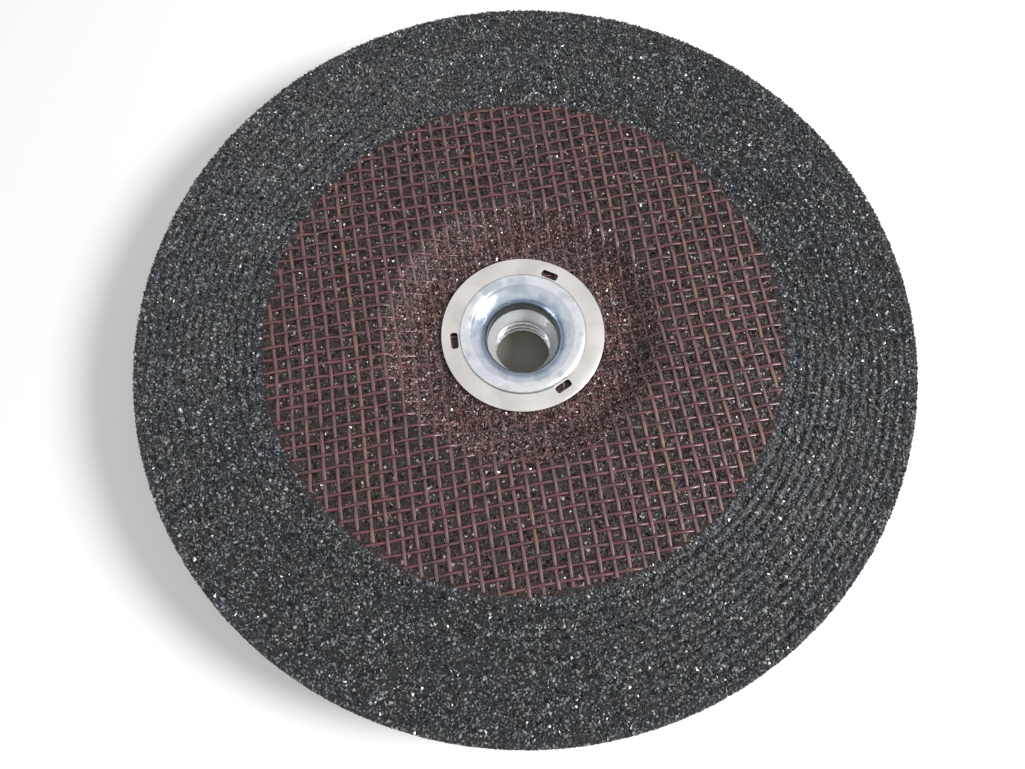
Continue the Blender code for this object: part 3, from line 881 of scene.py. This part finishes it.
def flange_rows(sizes):
    """The flange, with broken edges."""
    top, under, radius, edge = sizes.flange_top, sizes.hexagon_height, sizes.flange_radius, FLANGE_EDGE
    return [
        (sizes.tube_radius, top + 0.0002), (sizes.tube_radius + 0.0002, top),
        (radius - edge, top), (radius - edge * 0.3, top - edge * 0.3), (radius, top - edge),
        (radius, under + edge), (radius - edge * 0.3, under + edge * 0.3), (radius - edge, under),
    ]


def hexagon_rows(sizes, steps):
    """The hexagon, whose corners are turned to a cone at its end."""
    angles = 2 * np.pi * np.arange(steps) / steps
    corner = sizes.hexagon_width / math.sqrt(3)
    end_radius = sizes.hexagon_width / 2 - FLANGE_EDGE
    chamfer_top = (corner - end_radius) * math.tan(CHAMFER_ANGLE)
    heights = np.concatenate([
        np.linspace(sizes.hexagon_height, chamfer_top, 5), np.linspace(chamfer_top, 0.0, 12)[1:]
    ])
    rows = [(corner + 0.0002, sizes.hexagon_height)]
    for height in heights:
        limit = end_radius + height / math.tan(CHAMFER_ANGLE)
        rows.append((hexagon(min(limit, corner), angles, sizes.hexagon_width), height))
    return rows


def bore_rows(sizes, steps):
    """Up the bore: the spindle's seat, the thread, the countersink and the plain well."""
    foot_radius, thread_top = sizes.well_radius - WELL_TAPER, thread_end(sizes)
    rows = [(SEAT_RADIUS + 0.0001, 0.0), (SEAT_RADIUS, 0.00004)]
    for i in range(1, 4):
        share = i / 3
        rows.append((SEAT_RADIUS + (sizes.minor_radius - SEAT_RADIUS) * share, SEAT_HEIGHT * share))
    rows += thread_rows(sizes, SEAT_HEIGHT, thread_top - 0.00015, steps)[1:]
    for share in (0.0, 0.06, 0.5, 0.94):
        radius = sizes.minor_radius + (foot_radius - sizes.minor_radius) * share
        rows.append((radius, thread_top + (sizes.well_foot - thread_top) * share))
    return rows + [
        (foot_radius - 0.00004, sizes.well_foot), (foot_radius, sizes.well_foot + 0.0001),
        (sizes.well_radius, sizes.well_top - 0.0002),
    ]


def funnel_rows(sizes):
    """The funnel that opens from the well to the lip's crest, with a shallow crease."""
    across, up = sizes.crest_radius - sizes.well_radius, sizes.lip_crest - sizes.well_top
    rows = []
    for i in range(48):
        turn = math.pi / 2 * i / 48
        radius = sizes.crest_radius - across * math.cos(turn) ** 1.5
        crease = CREASE_DEPTH * math.exp(-((radius - sizes.crease_radius) / CREASE_WIDTH) ** 2)
        rows.append((radius, sizes.lip_crest - up * (1 - math.sin(turn)) - crease))
    return rows


def hub_outline(sizes, steps):
    """Rows of the hub, down its outside from the lip and up through the threaded bore."""
    outside = lip_rows(sizes) + flange_rows(sizes) + hexagon_rows(sizes, steps)
    return outside + bore_rows(sizes, steps) + funnel_rows(sizes)


# Painted light and shade in the funnel's zones, by their share of the lip's radius, from the well to the
# lip: the countersink and thread painted near white, the well wall painted darker, the lip painted lighter
FUNNEL_PAINTED_LIGHT = [
    (0.572, "F6F7F8"), (0.580, "9CA6B2"), (0.640, "BCC7D2"), (0.720, "C6CDD6"), (0.815, "C4CAD2"),
    (0.830, "E0E2E5"),
]


def turned_zinc_material(sizes):
    """Steel turned on a lathe, then zinc plated: bluish and clouded, with fine rings round the axis. Zones
    of painted light and shade lie over the bore and the funnel.

    The bore below the well is satin, and its thread is painted darker towards the roots, for oil and dirt
    and as painted shade.
    """
    material, tree, shader, place = new_material("zinc_plated_turned_steel", Metallic=1.0)
    height = add_node(tree, "ShaderNodeSeparateXYZ", {"Vector": place}).outputs["Z"]
    radius = axis_distance(tree, place)
    ring_place = add_node(tree, "ShaderNodeCombineXYZ", {"X": radius, "Y": height})
    rings = add_node(tree, "ShaderNodeTexNoise", {
        "Vector": ring_place, "Scale": 1 / 0.00012, "Detail": 3.0, "Roughness": 0.7,
    })
    patches = add_node(tree, "ShaderNodeTexNoise", {"Vector": place, "Scale": 1 / 0.005, "Detail": 2.0})
    cloud = ramp(tree, patches, [(0.34, "B0BCCC"), (0.5, "FFFFFF"), (0.66, "DEDCEE")])
    share = add_node(tree, "ShaderNodeMath", {0: radius, 1: sizes.lip_radius}, operation="DIVIDE")
    within = {}
    for name, distance, limit in (
        ("well", radius, sizes.well_radius + 0.0001), ("roots", radius, sizes.major_radius + 0.00005),
        ("countersink", height, sizes.well_foot), ("thread", height, thread_end(sizes)),
    ):
        within[name] = add_node(tree, "ShaderNodeMath", {0: distance, 1: limit}, operation="LESS_THAN")
    above = add_node(tree, "ShaderNodeMath", {
        0: height, 1: sizes.well_top - 0.0005,
    }, operation="GREATER_THAN")
    front = add_node(tree, "ShaderNodeMath", {0: within["well"], 1: above}, operation="MAXIMUM")
    # Painted light and shade: the well and the funnel take their zones' tones in place of the plain zinc
    plated = add_node(tree, "ShaderNodeMix", {
        0: front, 6: tuple(sizes.zinc), 7: ramp(tree, share, FUNNEL_PAINTED_LIGHT),
    }, data_type="RGBA")
    # Painted light: the bore below the well is left without clouds, so it stays lighter
    bored = add_node(tree, "ShaderNodeMath", {
        0: within["well"], 1: within["countersink"],
    }, operation="MULTIPLY")
    clouded = add_node(tree, "ShaderNodeMapRange", {"Value": bored, "To Min": 0.55, "To Max": 0.0})
    tinted = add_node(tree, "ShaderNodeMix", {
        0: clouded, 6: plated, 7: cloud,
    }, data_type="RGBA", blend_type="MULTIPLY")
    # Oil and painted shade: the thread is darker towards its roots
    root = add_node(tree, "ShaderNodeMapRange", {
        "Value": radius, "From Min": sizes.minor_radius, "From Max": sizes.minor_radius + 0.0006,
    })
    in_thread = add_node(tree, "ShaderNodeMath", {
        0: within["roots"], 1: within["thread"],
    }, operation="MULTIPLY")
    oil_and_shade = add_node(tree, "ShaderNodeMath", {0: in_thread, 1: root}, operation="MULTIPLY")
    soiled_and_shaded = add_node(tree, "ShaderNodeMix", {
        0: oil_and_shade, 6: tinted, 7: tuple(sizes.thread_soil_and_shade),
    }, data_type="RGBA")
    shine = add_node(tree, "ShaderNodeMapRange", {
        "Value": patches, "From Min": 0.3, "From Max": 0.7, "To Min": 0.19, "To Max": 0.33,
    })
    satin = add_node(tree, "ShaderNodeMapRange", {"Value": bored, "To Min": 1.0, "To Max": 0.55})
    relief = add_node(tree, "ShaderNodeBump", {"Height": rings, "Strength": 0.35, "Distance": 0.00004})
    set_inputs(tree, shader, {"Base Color": soiled_and_shaded, "Roughness": shine, "Metallic": satin, "Normal": relief})
    return material


def tinned_sheet_material(sizes):
    """Cold-rolled sheet with a tin coat: nearly white, dulled by handling, with a few dark specks."""
    material, tree, shader, place = new_material("tinned_steel_sheet", Metallic=1.0, Roughness=0.32)
    smears = add_node(tree, "ShaderNodeTexNoise", {"Vector": place, "Scale": 1 / 0.006, "Detail": 4.0})
    toned = add_node(tree, "ShaderNodeMix", {
        0: 0.4, 6: tuple(sizes.tin), 7: ramp(tree, smears, [(0.35, "D2CCC8"), (0.6, "FFFFFF")]),
    }, data_type="RGBA", blend_type="MULTIPLY")
    specks = add_node(tree, "ShaderNodeTexVoronoi", {"Vector": place, "Scale": 1 / 0.0045})
    dot = add_node(tree, "ShaderNodeMapRange", {
        "Value": specks, "From Min": 0.03, "From Max": 0.06, "To Min": 1.0, "To Max": 0.0,
    })
    speckled = add_node(tree, "ShaderNodeMix", {0: dot, 6: toned, 7: tuple(sizes.speck)}, data_type="RGBA")
    grain = add_node(tree, "ShaderNodeTexNoise", {"Vector": place, "Scale": 1 / 0.0003, "Detail": 2.0})
    relief = add_node(tree, "ShaderNodeBump", {"Height": grain, "Strength": 0.15, "Distance": 0.00003})
    set_inputs(tree, shader, {"Base Color": speckled, "Normal": relief})
    return material


def slotted_ring(sizes):
    """Flat ring with three round-cornered slots and softened edges."""
    rim, top, under = sizes.ring_radius, sizes.ring_top, sizes.ring_under
    outline = [
        (sizes.ring_bore, top), (rim - RING_EDGE, top), (rim - RING_EDGE * 0.3, top - RING_EDGE * 0.3),
        (rim, top - RING_EDGE), (rim, under), (sizes.ring_bore, under),
    ]
    piece = place_object("tinned_ring", turned("tinned_ring", outline, RING_STEPS))
    bars = bmesh.new()
    for angle in SLOT_ANGLES:
        place = Matrix.Rotation(angle, 4, "Z") @ Matrix.Translation((sizes.slot_radius, 0, top))
        size = Matrix.Diagonal((sizes.slot_width, sizes.slot_length, SLOT_CUT_HEIGHT, 1.0))
        corners = bmesh.ops.create_cube(bars, size=1.0, matrix=place @ size)["verts"]
        upright = [
            edge for edge in {edge for vert in corners for edge in vert.link_edges}
            if abs(edge.verts[0].co.z - edge.verts[1].co.z) > SLOT_CUT_HEIGHT / 2
        ]
        bmesh.ops.bevel(bars, geom=upright, offset=SLOT_CORNER, segments=6, profile=0.5, affect="EDGES")
    slots = bpy.data.meshes.new("slots")
    bars.to_mesh(slots)
    bars.free()
    cutter = place_object("slots", slots)
    cut = piece.modifiers.new("slots", "BOOLEAN")
    cut.operation, cut.solver, cut.object = "DIFFERENCE", "EXACT", cutter
    soft = piece.modifiers.new("soft edges", "BEVEL")
    soft.width, soft.segments, soft.limit_method, soft.angle_limit = 0.00006, 2, "ANGLE", math.radians(50)
    apply_modifiers(piece)
    bpy.data.objects.remove(cutter)
    smooth(piece.data)
    return piece


class DISC_OT_body(bpy.types.Operator):
    """Build the moulded disc with its grooves, rim and boss"""

    bl_idname = "grinding_disc.body"
    bl_label = "Moulded Disc"

    def execute(self, context):
        model = context.scene.grinding_disc
        outline = body_outline(model.disc, model.net.radius, DISC_STEPS)
        mesh = smooth(turned("moulded_disc", outline, DISC_STEPS))
        piece = place_object("moulded_disc", mesh, abrasive_material(model.disc, model.net))
        fit(piece, "bonded_grain", "abrasive_disc")
        return {"FINISHED"}


class DISC_OT_grain(bpy.types.Operator):
    """Scatter the crystals over the band, the rim, the openings of the net and the recess"""

    bl_idname = "grinding_disc.grain"
    bl_label = "Crystals"

    def execute(self, context):
        model = context.scene.grinding_disc
        disc, net = model.disc, model.net
        tree = grain_tree()
        bare = crystal_material("crushed_abrasive_crystal", OPEN_TONES, ("D6DAE6", "E6E6E0"), 0.10)
        # Painted shade in part: the sunken openings' grain has darker tones than the bare grain
        coated = crystal_material("resin_coated_shaded_crystal", COATED_SHADED_TONES, ("CCDCCC", "ECD4D0"), 0.0)
        buried = crystal_material("resin_buried_crystal", BURIED_TONES, ("DCD8DC", "F4DED8"), 0.30)
        split = math.sqrt((net.radius ** 2 + disc.wheel_radius ** 2) / 2)
        edge = disc.wheel_radius - disc.rim_cover
        buried_end = disc.floor_radius + disc.slope_width * BURIED_SLOPE
        openings = opening_patches(disc, net, buried_end - net.warp_pitch)
        recess = recess_bed(disc, model.metal.ring_radius - UNDER_RING, buried_end)
        beds = (
            ("grain_inner_band", open_band(disc, net.radius - BED_OVERLAP, split), 1.0, GRAIN_LIFT, bare),
            ("grain_outer_band", open_band(disc, split, edge), 1.0, GRAIN_LIFT, bare),
            ("grain_rim", rim_band(disc), 1.0, GRAIN_LIFT, bare),
            ("grain_net_openings", openings, 1.0, -GRAIN_LIFT, coated),
            ("grain_recess", recess, RECESS_GRAIN, GRAIN_LIFT, buried),
        )
        for number, (name, bed, scale, lift, crystal) in enumerate(beds):
            piece = place_object(name, bed)
            baked(
                piece, tree, Spacing=disc.grain_spacing * scale, Size=disc.grain_size * scale,
                Least=LEAST_GRAIN, Lift=lift, Seed=SEED + number, Material=crystal,
            )
            keep_inside(piece, disc)
            fit(piece, "bonded_grain", "abrasive_disc")
        return {"FINISHED"}


class DISC_OT_net(bpy.types.Operator):
    """Weave the net"""

    bl_idname = "grinding_disc.net"
    bl_label = "Woven Net"

    def execute(self, context):
        model = context.scene.grinding_disc
        disc, net = model.disc, model.net
        tree = yarn_tree()
        warp = yarn_material("resin_coated_glass_warp", net.warp_colour, WARP_TONES, 0.42, 0.7)
        weft = yarn_material("resin_coated_glass_weft", net.weft_colour, WEFT_TONES, 0.28, 0.85)
        sets = (
            ("net_warp", False, net.warp_width, net.warp_height, warp),
            ("net_weft", True, net.weft_width, net.weft_height, weft),
        )
        for name, along_weft, width, height, material in sets:
            piece = place_object(name, yarn_lines(name, disc, net, along_weft))
            baked(piece, tree, Width=width, Height=height, Sides=YARN_SIDES, Material=material)
            fit(piece, "glass_net", "front_net")
        return {"FINISHED"}


class DISC_OT_ring(bpy.types.Operator):
    """Build the slotted ring"""

    bl_idname = "grinding_disc.ring"
    bl_label = "Slotted Ring"

    def execute(self, context):
        sizes = context.scene.grinding_disc.metal
        piece = slotted_ring(sizes)
        piece.data.materials.clear()
        piece.data.materials.append(tinned_sheet_material(sizes))
        fit(piece, "tinned_steel", "front_ring")
        return {"FINISHED"}


class DISC_OT_hub(bpy.types.Operator):
    """Build the hub with its lip, thread, flange and hexagon"""

    bl_idname = "grinding_disc.hub"
    bl_label = "Threaded Hub"

    def execute(self, context):
        sizes = context.scene.grinding_disc.metal
        mesh = smooth(turned("plated_hub", hub_outline(sizes, HUB_STEPS), HUB_STEPS))
        fit(place_object("plated_hub", mesh, turned_zinc_material(sizes)), "zinc_steel", "threaded_hub")
        return {"FINISHED"}


class DISC_OT_stage(bpy.types.Operator):
    """Set the floor, the world, the lamp and the camera"""

    bl_idname = "grinding_disc.stage"
    bl_label = "Stage"

    def execute(self, context):
        stage = context.scene.grinding_disc.stage
        make_floor(stage)
        make_world(context.scene, stage)
        make_lamp(stage)
        make_camera(context.scene, stage)
        context.scene.view_settings.view_transform = "Standard"
        return {"FINISHED"}


def make_floor(stage):
    """Pale floor that keeps the shadow; the camera and mirrors see it lighter, but not in the bore, where
    its colour is painted darker as shade.
    """
    half = stage.floor_size / 2
    corners = [(-half, -half, 0.0), (half, -half, 0.0), (half, half, 0.0), (-half, half, 0.0)]
    material, tree, shader, place = new_material("pale_studio_paper", Roughness=0.9, Specular_IOR_Level=0.0)
    path = add_node(tree, "ShaderNodeLightPath")
    seen = add_node(tree, "ShaderNodeMath", {
        0: path.outputs["Is Camera Ray"], 1: path.outputs["Is Glossy Ray"],
    }, operation="MAXIMUM")
    radius = add_node(tree, "ShaderNodeVectorMath", {0: place}, operation="LENGTH")
    beside = add_node(tree, "ShaderNodeMapRange", {"Value": radius, "From Min": 0.02, "From Max": 0.04})
    glow = add_node(tree, "ShaderNodeMath", {0: seen, 1: beside}, operation="MULTIPLY")
    # Painted shade: the paper is darker near the axis, where it shows through the bore
    paper = add_node(tree, "ShaderNodeMix", {
        0: beside, 6: tuple(stage.bore_painted_shade), 7: tuple(stage.floor_colour),
    }, data_type="RGBA")
    set_inputs(tree, shader, {
        "Base Color": paper, "Emission Color": tuple(stage.floor_glow), "Emission Strength": glow,
    })
    floor = place_object("floor", mesh_from("floor", corners, faces=[(0, 1, 2, 3)]), material)


def make_world(scene, stage):
    """White for the camera, mirrors and glass, and a plain soft light for everything else."""
    world = bpy.data.worlds.new("studio")
    scene.world = world
    world.use_nodes = True
    tree = world.node_tree
    path = add_node(tree, "ShaderNodeLightPath")
    seen = add_node(tree, "ShaderNodeMath", {
        0: path.outputs["Is Camera Ray"], 1: path.outputs["Is Glossy Ray"],
    }, operation="MAXIMUM")
    white = add_node(tree, "ShaderNodeMath", {
        0: seen, 1: path.outputs["Is Transmission Ray"],
    }, operation="MAXIMUM")
    strength = add_node(tree, "ShaderNodeMapRange", {
        "Value": white, "To Min": stage.world_light, "To Max": 1.0,
    })
    set_inputs(tree, tree.nodes["Background"], {"Color": linear("FFFFFF"), "Strength": strength})


def make_lamp(stage):
    """A soft round key lamp to the right of the disc; the world gives the rest of the light."""
    data = bpy.data.lights.new("key", "AREA")
    data.shape, data.size, data.energy = "DISK", stage.lamp_size, stage.lamp_power
    lamp = bpy.data.objects.new("key", data)
    bpy.context.scene.collection.objects.link(lamp)
    lamp.location = stage.lamp_place
    lamp.rotation_mode = "QUATERNION"
    towards_disc = Vector((0.0, 0.0, DISC_HIGH.z)) - lamp.location
    lamp.rotation_quaternion = towards_disc.to_track_quat("-Z", "Y")


def make_camera(scene, stage):
    """The photograph's view: the face's centre falls on its pixel by turning the camera."""
    data = bpy.data.cameras.new("camera")
    data.sensor_width, data.sensor_fit, data.lens = 36.0, "HORIZONTAL", stage.camera_lens
    data.clip_start = 0.005
    camera = bpy.data.objects.new("camera", data)
    scene.collection.objects.link(camera)
    up, away = math.sin(stage.camera_height), math.cos(stage.camera_height)
    offset = Vector((0.0, -away, up)) * stage.camera_distance
    focal = stage.camera_lens / data.sensor_width * PHOTO_WIDTH
    right = (FACE_CENTRE_PIXEL[0] - PHOTO_WIDTH / 2) / focal
    above = -(FACE_CENTRE_PIXEL[1] - PHOTO_HEIGHT / 2) / focal
    yaw = math.atan(right)
    pitch = math.atan(above * math.cos(yaw))
    aim = (-offset).to_track_quat("-Z", "Y").to_matrix().to_4x4()
    turn = Matrix.Rotation(-pitch, 4, "X") @ Matrix.Rotation(yaw, 4, "Y")
    camera.matrix_world = Matrix.Translation(Vector((0.0, 0.0, DISC_HIGH.z)) + offset) @ aim @ turn
    scene.camera = camera


OPERATORS = (DISC_OT_stage, DISC_OT_body, DISC_OT_grain, DISC_OT_net, DISC_OT_ring, DISC_OT_hub)


class DISC_PT_sidebar(bpy.types.Panel):
    """Lists the sizes, the colours and the steps"""

    bl_idname = "DISC_PT_sidebar"
    bl_label = "Grinding Disc"
    bl_space_type = "VIEW_3D"
    bl_region_type = "UI"
    bl_category = "Grinding Disc"

    def draw(self, context):
        model = context.scene.grinding_disc
        for group in (model.disc, model.net, model.metal, model.stage):
            box = self.layout.box()
            for name in group.bl_rna.properties.keys():
                if name not in ("rna_type", "name"):
                    box.prop(group, name)
        for operator in OPERATORS:
            self.layout.operator(operator.bl_idname)


CLASSES = (DiscSizes, NetSizes, MetalSizes, StageSizes, GrindingDisc, *OPERATORS, DISC_PT_sidebar)


def register():
    """Register the classes and the model's settings."""
    for item in CLASSES:
        bpy.utils.register_class(item)
    bpy.types.Scene.grinding_disc = bpy.props.PointerProperty(
        type=GrindingDisc, name="Grinding disc", description="Sizes and colours of the grinding disc"
    )


def unregister():
    """Take the settings and the classes away again."""
    del bpy.types.Scene.grinding_disc
    for item in reversed(CLASSES):
        bpy.utils.unregister_class(item)


def main():
    """Build every piece in order."""
    register()
    bpy.ops.grinding_disc.stage()
    bpy.ops.grinding_disc.body()
    bpy.ops.grinding_disc.grain()
    bpy.ops.grinding_disc.net()
    bpy.ops.grinding_disc.ring()
    bpy.ops.grinding_disc.hub()


if __name__ == "__main__":
    main()
